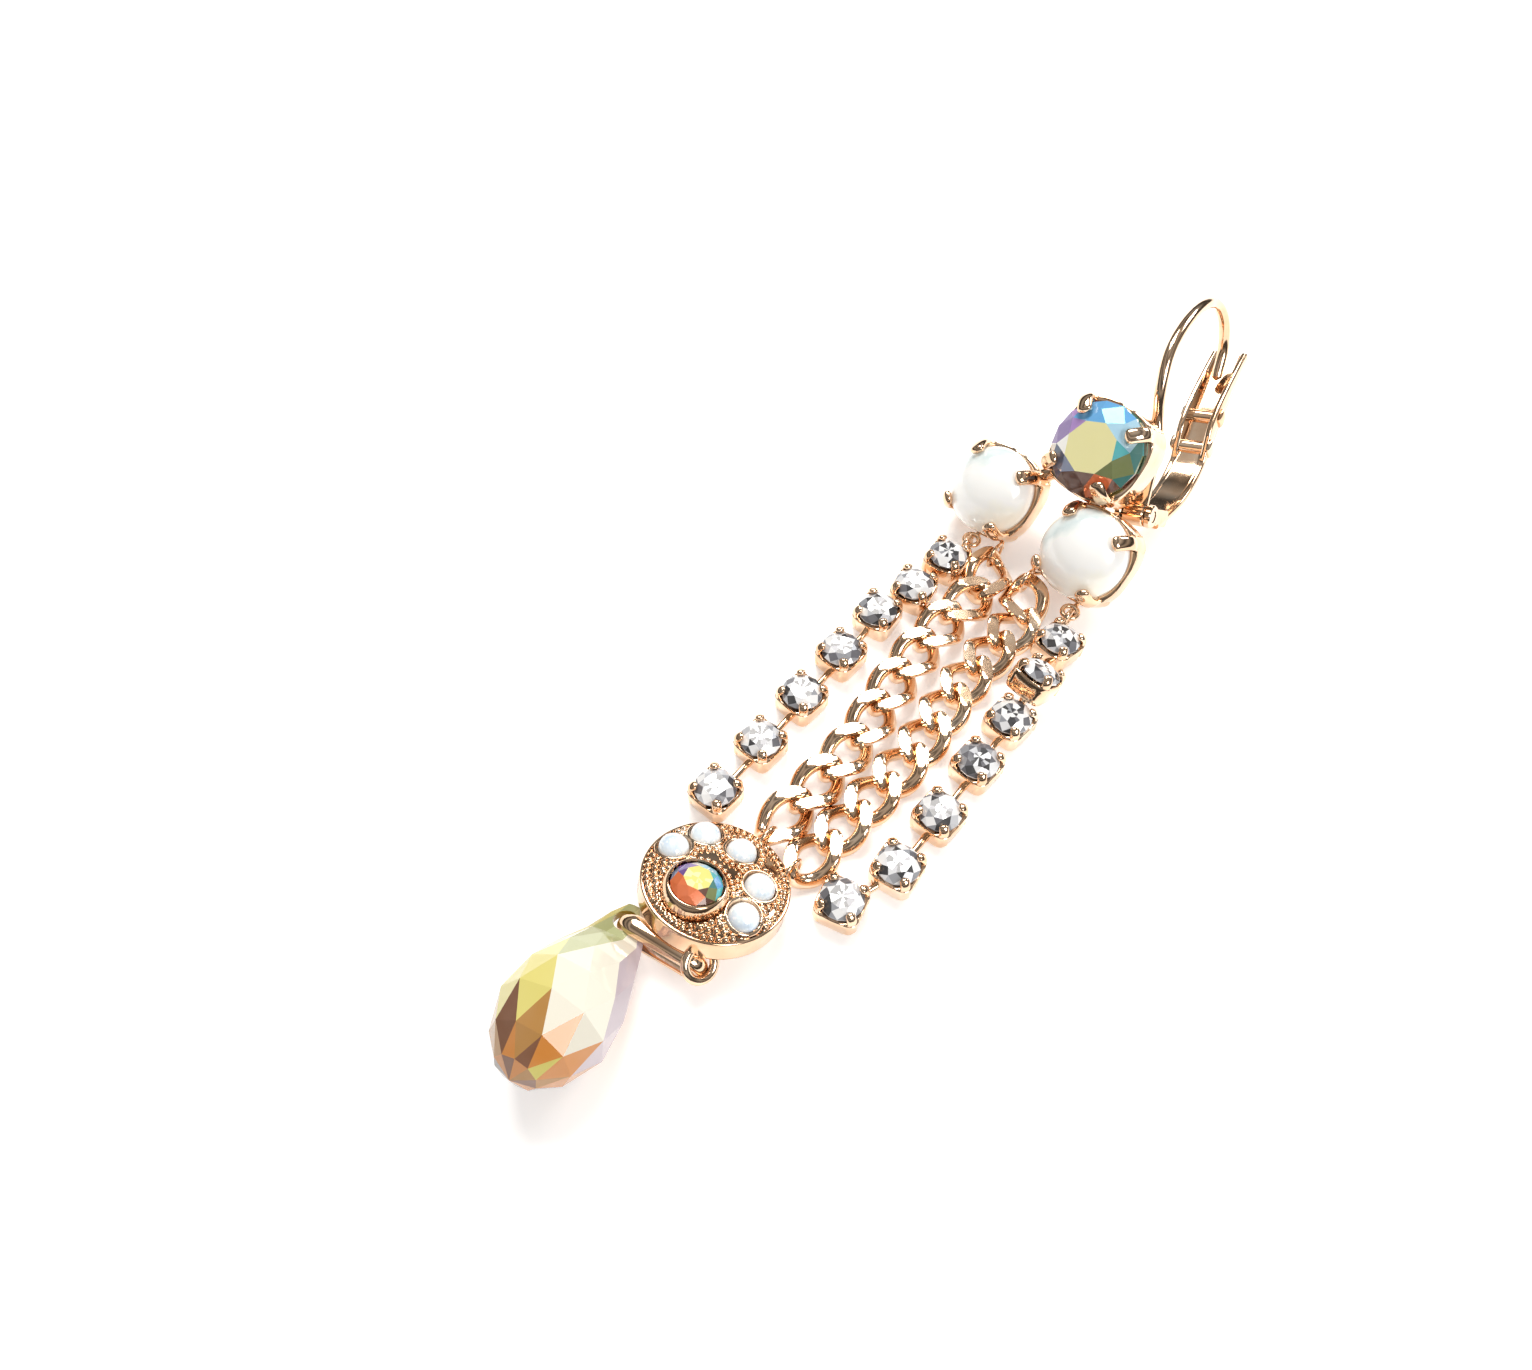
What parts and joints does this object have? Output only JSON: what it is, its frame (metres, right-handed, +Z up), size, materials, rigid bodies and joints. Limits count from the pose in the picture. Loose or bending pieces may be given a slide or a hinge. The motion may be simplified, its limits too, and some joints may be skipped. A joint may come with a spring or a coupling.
{
  "type": "chandelier earring",
  "caption": "Leverback chandelier earring: a three-stone head, two rhinestone strands, a double curb chain, a pave disc and a faceted drop, lying flat.",
  "frame": {"origin": "on the surface it lies on, under the middle of the whole earring", "axes": "+Z up from the surface, +Y along the earring from the drop to the ear wire, +X across it, right when the ear wire points up"},
  "size_m": [0.0176, 0.0766, 0.0138],
  "materials": {
    "rose_gold": "polished rose gold plating",
    "clear_crystal": "foiled clear crystal",
    "ab_crystal": "crystal with an aurora coating",
    "opal": "milky opal glass",
    "mother_of_pearl": "polished mother of pearl",
    "amber_crystal": "champagne crystal with a gold coating"
  },
  "bodies": {
    "earring": {"cluster": "rose_gold", "hinge_rivet": "rose_gold", "top_crystal": "ab_crystal", "left_cabochon": "mother_of_pearl", "right_cabochon": "mother_of_pearl", "left_strand": "rose_gold", "left_rhinestone_1": "clear_crystal", "left_rhinestone_2": "clear_crystal", "left_rhinestone_3": "clear_crystal", "left_rhinestone_4": "clear_crystal", "left_rhinestone_5": "clear_crystal", "left_rhinestone_6": "clear_crystal", "left_rhinestone_7": "clear_crystal", "right_strand": "rose_gold", "right_rhinestone_1": "clear_crystal", "right_rhinestone_2": "clear_crystal", "right_rhinestone_3": "clear_crystal", "right_rhinestone_4": "clear_crystal", "right_rhinestone_5": "clear_crystal", "right_rhinestone_6": "clear_crystal", "right_rhinestone_7": "clear_crystal", "left_chain": "rose_gold", "right_chain": "rose_gold", "disc_setting": "rose_gold", "disc_crystal": "ab_crystal", "disc_opal_1": "opal", "disc_opal_2": "opal", "disc_opal_3": "opal", "disc_opal_4": "opal", "disc_opal_5": "opal", "drop_bail": "rose_gold", "briolette_drop": "amber_crystal"},
    "lever": {"lever": "rose_gold"}
  },
  "joints": [
    {"name": "lever_hinge", "type": "hinge", "parent": "earring", "child": "lever", "pos_m": [0.00431, 0.01955, 0.00428], "axis": [-0.9386, -0.093, -0.3321], "range_deg": [0, 50]}
  ]
}
